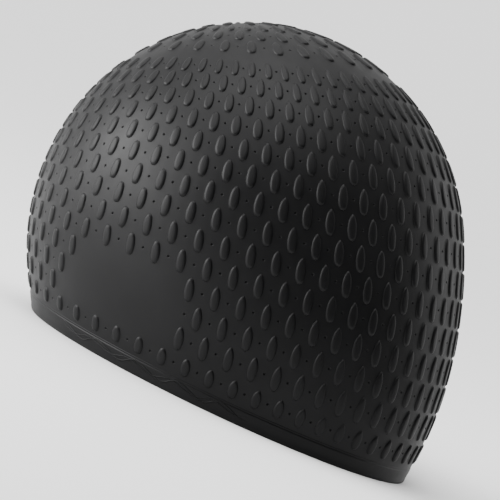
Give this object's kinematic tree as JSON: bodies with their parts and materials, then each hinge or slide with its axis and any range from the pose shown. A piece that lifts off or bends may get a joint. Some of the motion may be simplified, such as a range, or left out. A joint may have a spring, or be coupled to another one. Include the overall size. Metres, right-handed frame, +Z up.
{
  "type": "swim cap",
  "caption": "Moulded silicone swim cap: a hollow dome with staggered raised bumps, a bare panel low on the left side and a smooth rim band.",
  "frame": {"origin": "middle of the cap's plan, in the plane of the rim that it stands on", "axes": "+Z up through the crown, -Y to the forehead side, +Y to the nape, +X to the wearer's left side"},
  "size_m": [0.1818, 0.2128, 0.165],
  "materials": {
    "black_silicone": "matte moulded silicone"
  },
  "bodies": {
    "root": {"cap_shell": "black_silicone"}
  },
  "joints": []
}
